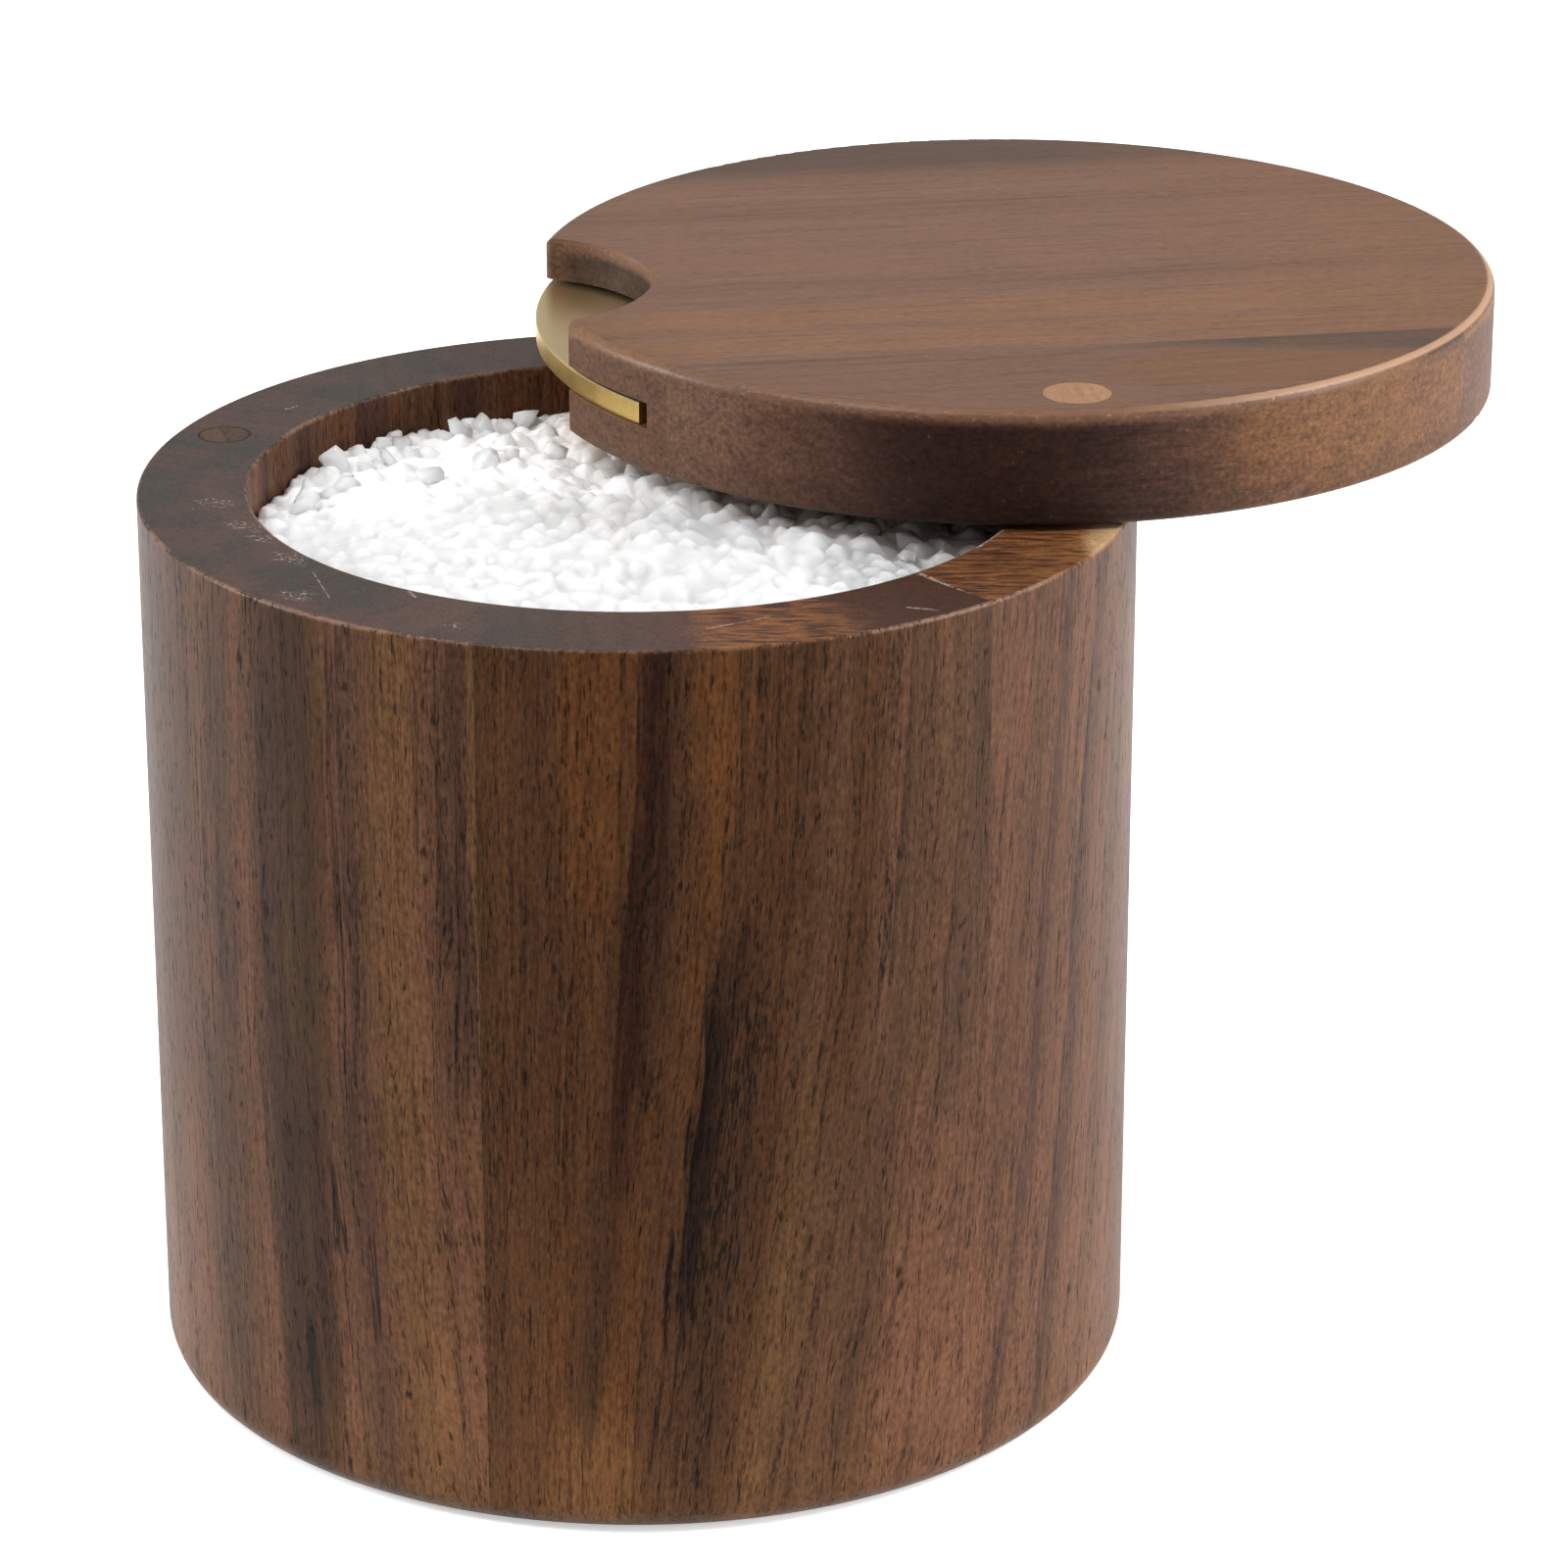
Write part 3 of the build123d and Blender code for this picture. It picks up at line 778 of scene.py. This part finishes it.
def metal(name, colour, deep, rough, brush, upper=None):
    """Brushed metal. brush is its scratches' length along x and their width; its upper face may be painted
    paler, a painted highlight from the light above.
    """
    craft = Craft(name)
    x, y, z = craft.split(craft.place())
    length, width = brush
    scratch = craft.noise(x / length, y / width, z / width, detail=3.0, roughness=0.6)
    cloud = craft.noise(x / 7, y / 7, z / 7, detail=3.0)
    tone = craft.mix(colour, deep, craft.step(cloud + (scratch - 0.5) * 0.5, 0.45, 0.75))
    # Painted highlight: the upward face is painted paler
    if upper:
        tone = craft.mix(tone, upper, craft.step(craft.facing(up), 0.3, 0.9))
    craft.set(Base_Color=tone, Metallic=1.0, Roughness=(scratch - 0.5) * 0.22 + rough)
    craft.bump(scratch, 0.012, 0.6)
    return craft.material


dress("thumb_plate", metal("brushed_brass", BRASS, BRASS_DEEP, 0.34, (9, 0.12), upper=BRASS_PAINTED_TOP_LIGHT))
dress("pivot_insert", metal("brass_insert", OLD_BRASS, OLD_BRASS_DEEP, 0.4, (0.3, 0.3)))
for name in ("pivot_screw", "spacer_washer", "head_washer"):
    dress(name, metal("steel_" + name, STEEL, STEEL_DEEP, 0.3, (0.2, 0.2)))
for name in ("body_magnet", "lid_magnet"):
    dress(name, metal("nickel_" + name, NICKEL, NICKEL_DEEP, 0.22, (0.3, 0.3)))


# Salt: a heaped bed and coarse crystals on it
salt_low, salt_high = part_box("salt_fill")
salt_radius = (salt_high.x - salt_low.x) / 2 / MM
random = Random(5)

# The heap: how far it lies below the rim, rises in its middle and slopes up to the camera
below_rim = 5.0
mound = 2.6
slope = 1.2

# How finely the bed's surface is laid out, and how sharp the edges between its facets are
ring_count = 108
spoke_count = 640
edge_sharpness = 16.0

# The bed's lumps and the loose crystals: pitch, jitter as a share of it, and smallest and largest size
lump_pitch, lump_jitter = 2.3, 0.42
lump_sizes = (2.4, 4.2)
crystal_pitch, crystal_jitter = 3.4, 0.45
crystal_sizes = (2.6, 4.2)

# How far the ground between lumps and the lumps themselves sit below the heap's height, and how much wider
# the lumps are in its dim part
ground_sunk = 0.5
lump_sunk = 1.3
dim_extra = 0.8


def heap(x, y):
    """Height of the salt at a point, in millimetres: high in the middle and at the front, uneven all over."""
    reach = min(1.0, (x * x + y * y) / salt_radius ** 2)
    level = body_height - below_rim + mound * (1 - reach) + slope * toward_camera(x, y) / salt_radius
    rough = noise.noise(Vector((x / 11, y / 11, 3.1))) * 1.5 + noise.noise(Vector((x / 4, y / 4, 8.2))) * 0.7
    return level + rough * (1 - 0.5 * reach)


def dim_part(x, y):
    """1 at the back of the salt and under the lid, 0 in its open front part."""
    under = lid_radius + 2 - (Vector((x, y)) - lid_centre.xy).length
    return min(1.0, max(0.0, -toward_camera(x, y) / 16 - 0.6, under / 5))


def mesh_piece(name, points, faces, smooth=False):
    mesh = bpy.data.meshes.new(name)
    mesh.from_pydata([tuple(point) for point in points], [], faces)
    mesh.validate()
    mesh.update()
    if smooth:
        mesh.shade_smooth()
    piece = bpy.data.objects.new(name, mesh)
    bpy.context.scene.collection.objects.link(piece)
    return piece


def any_way():
    """A direction, all of them as likely."""
    return Vector([random.gauss(0, 1) for _ in range(3)]).normalized()


def scattered(pitch, jitter):
    """Uneven places all over the salt, one about every pitch."""
    steps = int(salt_radius / pitch) + 1
    for row in range(-steps, steps + 1):
        for column in range(-steps, steps + 1):
            x = (column + 0.5 * (row % 2) + random.uniform(-jitter, jitter)) * pitch
            y = (row * 0.87 + random.uniform(-jitter, jitter)) * pitch
            if (x * x + y * y) ** 0.5 < salt_radius:
                yield x, y


def lump(dx, dy, size):
    """Heights of one crystal's top over the points round it: the lowest of several tilted facets."""
    facets = []
    sides = random.randint(4, 6)
    first_way = random.uniform(0, 2 * pi)
    for side in range(sides + 1):
        lean = radians(random.uniform(32, 64)) if side else radians(random.uniform(0, 24))
        way = first_way + 2 * pi * (side + random.uniform(-0.25, 0.25)) / sides
        far_off = 0.5 * size * random.uniform(0.62, 0.9)
        aside = dx * cos(way) + dy * sin(way)
        facets.append((far_off - aside * sin(lean)) / cos(lean))
    return -np.log(sum(np.exp(-edge_sharpness * np.clip(facet, -6, 6)) for facet in facets)) / edge_sharpness


def bed_faces(rim, foot_start, foot_middle):
    """Faces of the bed: a fan in the middle, rings of quads, a wall down from the rim and a fan below."""
    faces = []
    for spoke in range(spoke_count):
        following = (spoke + 1) % spoke_count
        faces.append((0, 1 + spoke, 1 + following))
        for ring in range(ring_count - 1):
            inner = 1 + ring * spoke_count
            outer = inner + spoke_count
            faces.append((inner + spoke, outer + spoke, outer + following, inner + following))
        faces.append((rim + spoke, foot_start + spoke, foot_start + following, rim + following))
        faces.append((foot_start + spoke, foot_middle, foot_start + following))
    return faces


def salt_bed():
    """The bed of salt: one closed surface that follows the tops of crystals packed side by side."""
    widest = salt_radius - 0.1
    reach, angle = np.meshgrid(np.linspace(widest / ring_count, widest, ring_count),
                               np.arange(spoke_count) * 2 * pi / spoke_count, indexing="ij")
    x = reach * np.cos(angle)
    y = reach * np.sin(angle)
    top = np.vectorize(heap)(x, y) - ground_sunk
    for middle_x, middle_y in scattered(lump_pitch, lump_jitter):
        size = random.uniform(*lump_sizes) + dim_extra * dim_part(middle_x, middle_y)
        far = (middle_x ** 2 + middle_y ** 2) ** 0.5
        first_ring = max(0, int((far - size) / widest * ring_count))
        last_ring = min(ring_count, int((far + size) / widest * ring_count) + 1)
        span = min(pi, size / max(far, 0.5))
        first_spoke = int((np.arctan2(middle_y, middle_x) - span) / (2 * pi) * spoke_count)
        spokes = np.arange(first_spoke, first_spoke + int(span / pi * spoke_count) + 1) % spoke_count
        near = np.ix_(np.arange(first_ring, last_ring), np.unique(spokes))
        crystal = lump(x[near] - middle_x, y[near] - middle_y, size)
        raised = heap(middle_x, middle_y) - lump_sunk + random.uniform(-0.25, 0.35) + crystal
        top[near] = np.maximum(top[near], raised)
    points = [(0, 0, float(top[0].mean()))]
    points.extend(zip(x.ravel().tolist(), y.ravel().tolist(), top.ravel().tolist()))
    rim = len(points) - spoke_count
    foot_start = rim + spoke_count
    foot = salt_low.z / MM + 0.05
    points.extend([(across, ahead, foot) for across, ahead, _ in points[rim:]])
    points.append((0, 0, foot))
    faces = bed_faces(rim, foot_start, len(points) - 1)
    return mesh_piece("salt_heap", [Vector(point) * MM for point in points], faces, smooth=True)


def crystal_kinds(count):
    """Irregular angular lumps with worn corners, as points round the origin and faces."""
    kinds = []
    for _ in range(count):
        made = bmesh.new()
        stretch = (random.uniform(0.75, 1.25), random.uniform(0.7, 1.1), random.uniform(0.55, 0.95))
        for _ in range(random.randint(15, 22)):
            point = any_way()
            power = max(abs(part) for part in point)
            point = point * (0.5 * random.uniform(0.9, 1.03) / (0.45 + 0.55 * power))
            made.verts.new([point[axis] * stretch[axis] for axis in range(3)])
        bmesh.ops.convex_hull(made, input=made.verts)
        loose = [vert for vert in made.verts if not vert.link_faces]
        bmesh.ops.delete(made, geom=loose, context="VERTS")
        bmesh.ops.recalc_face_normals(made, faces=made.faces)
        made.verts.index_update()
        kinds.append(([vert.co.copy() for vert in made.verts],
                      [tuple(vert.index for vert in face.verts) for face in made.faces]))
        made.free()
    return kinds


def crystals():
    """Loose crystals lying on the bed of salt, in its dim part and along its crest."""
    kinds = crystal_kinds(40)
    points = []
    faces = []
    for x, y in scattered(crystal_pitch, crystal_jitter):
        size = random.uniform(*crystal_sizes)
        reach = (x * x + y * y) ** 0.5
        crest = reach > 0.8 * salt_radius and toward_camera(x, y) < random.uniform(-6, 0)
        loose = crest or random.random() < 0.55 * dim_part(x, y)
        if reach > salt_radius - size * 0.5 or not loose:
            continue
        shape, sides = random.choice(kinds)
        turn = Matrix.Rotation(random.uniform(0, 2 * pi), 3, any_way())
        place = Vector((x, y, heap(x, y) + random.uniform(-0.6, 0.5)))
        first = len(points)
        points.extend([(turn @ corner * size + place) * MM for corner in shape])
        faces.extend([tuple(first + corner for corner in side) for side in sides])
    return mesh_piece("salt_crystals", points, faces, smooth=True)


SALT = srgb(254, 254, 254)
SALT_CLOUD = srgb(248, 249, 250)
# A warm grey painted shade for the salt beside the lid
SALT_PAINTED_LID_SHADE = srgb(228, 217, 209)


def salt(name, shaded, clear, depth, soft, soft_front):
    """Coarse salt: white all through, its light softened inside it over some depth.

    shaded is how much darker its front is painted, a painted shade where the light falls strongest. clear is
    how much light passes, and depth how far light spreads in it, in millimetres. soft is how much its surface
    is lit as if it were level, and soft_front how much of it at the front.
    """
    craft = Craft(name)
    x, y, z = craft.split(craft.place())
    cloud = craft.noise(x / 2.4, y / 2.4, z / 2.4)
    grit = craft.noise(x / 0.7, y / 0.7, z / 0.7)
    plan = craft.join(x, y)
    aside = craft.dot(plan, view_across)
    ahead = craft.dot(plan, view_ahead)
    front = craft.spot(aside, ahead, (-16.0, -26.0), (54.0, 42.0))
    # A painted shadow of the lid on the salt's right end
    corner = craft.spot(aside, ahead, (29.0, -20.0), (15.0, 11.0))
    off_lid = craft.distance(plan, (lid_centre.x, lid_centre.y, 0))
    painted_lid_shade = craft.step(off_lid, lid_radius + 2, lid_radius - 8)
    under_lid = craft.step(off_lid, lid_radius + 4, lid_radius - 2)

    tone = craft.mix(SALT, SALT_CLOUD, craft.step(cloud, 0.4, 0.7))
    # Painted shade: the front is painted darker where the light falls strongest, the right end darker as the
    # lid's shadow, and the salt by the lid a warm grey as the lid's shade
    tone = craft.shade(tone, 1.0 - craft.larger(front * shaded, corner * 0.5))
    tone = craft.mix(tone, SALT_PAINTED_LID_SHADE, painted_lid_shade)
    spread = (craft.larger(front * 0.8, under_lid * 0.6) + 0.2) * depth * MM
    upright = craft.mix(craft.where("Normal"), (0.0, 0.0, 1.0, 1.0), front * (soft_front - soft) + soft)
    craft.set(Base_Color=tone, Roughness=grit * 0.15 + 0.25, IOR=1.4, Transmission_Weight=clear,
              Subsurface_Weight=1.0, Subsurface_Radius=(1.0, 1.0, 1.0), Subsurface_Scale=spread,
              Normal=upright)
    return craft.material


bed_look = salt("salt_bulk", shaded=0.34, clear=0.0, depth=8.0, soft=0.1, soft_front=0.7)
crystal_look = salt("salt_crystal", shaded=0.1, clear=0.5, depth=2.0, soft=0.2, soft_front=0.75)
heap_piece = salt_bed()
heap_piece.data.materials.append(bed_look)
grains = crystals()
grains.data.materials.append(crystal_look)
for piece in (heap_piece, grains):
    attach(piece, "body")
    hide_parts("salt_fill")


# The studio: a white floor, a bright surround that is dimmer towards the camera, and four soft lamps
floor_half = 3.0
FLOOR = srgb(240, 240, 240)
FLOOR_DIM = srgb(90, 90, 90)


def add_floor():
    """A white floor, dimmer at its front in the gloss of the box."""
    corners = [(-floor_half, -floor_half, 0), (floor_half, -floor_half, 0), (floor_half, floor_half, 0),
               (-floor_half, floor_half, 0)]
    floor = mesh_piece("floor", corners, [(0, 1, 2, 3)])
    craft = Craft("floor_white")
    x, y, _ = craft.split(craft.place())
    glossy = craft.ray("Glossy")
    dimmed = glossy * craft.step(toward_camera(x, y), 40.0, 150.0)
    seen = craft.larger(craft.ray("Camera"), glossy, craft.ray("Transmission"))
    craft.set(Base_Color=craft.mix(FLOOR, FLOOR_DIM, dimmed), Roughness=0.9, Specular_IOR_Level=0.0,
              Emission_Color=(1, 1, 1, 1), Emission_Strength=seen * (1.0 - dimmed) * 0.45)
    floor.data.materials.append(craft.material)


def add_surround():
    """A white surround: full white to the camera and through clear salt, dimmer to gloss than to matt."""
    world = bpy.data.worlds.new("studio")
    world.use_nodes = True
    bpy.context.scene.world = world
    tree = Tree(world.node_tree)
    away = tree.dot(tree.where("Generated"), view_ahead)
    rise = tree.step(away, -0.35, 0.25)
    level = tree.blend(rise * 0.33 + 0.12, rise * 0.30 + 0.48, tree.ray("Diffuse"))
    level = tree.larger(level, tree.ray("Camera"), tree.ray("Transmission"))
    glow = tree.node("ShaderNodeBackground", {"Color": (1, 1, 1, 1), "Strength": level})
    surface = tree.made.nodes.new("ShaderNodeOutputWorld")
    tree.feed(surface.inputs["Surface"], glow)


def add_lamp(name, place, width, power, aim=(0, 0, 0.06)):
    """A soft square lamp; places and widths are in metres, power in watts."""
    lamp = bpy.data.lights.new(name, "AREA")
    lamp.shape = "SQUARE"
    lamp.size = width
    lamp.energy = power
    holder = bpy.data.objects.new(name, lamp)
    bpy.context.scene.collection.objects.link(holder)
    holder.location = place
    holder.rotation_euler = (Vector(aim) - Vector(place)).to_track_quat("-Z", "Y").to_euler()


def add_camera():
    """The photograph's camera."""
    eye = bpy.data.cameras.new("camera")
    eye.lens = camera_lens
    eye.sensor_width = sensor_width
    eye.clip_start = 0.01
    holder = bpy.data.objects.new("camera", eye)
    bpy.context.scene.collection.objects.link(holder)
    holder.location = Matrix.Rotation(view_turn, 3, "Z") @ camera_place
    holder.rotation_euler = (pi / 2 - view_pitch, 0, view_turn)
    bpy.context.scene.camera = holder


add_floor()
add_surround()
add_camera()
add_lamp("front", place=(-0.28, -0.38, 0.88), width=0.36, power=4.2, aim=(0.01, 0.02, 0.08))
add_lamp("left", place=(-0.95, -0.14, 0.40), width=0.35, power=8.3)
add_lamp("right", place=(0.78, 0.10, 0.62), width=0.25, power=6.0)
add_lamp("right_low", place=(0.97, -0.02, 0.25), width=0.4, power=6.2)
bpy.context.scene.view_settings.view_transform = "Standard"
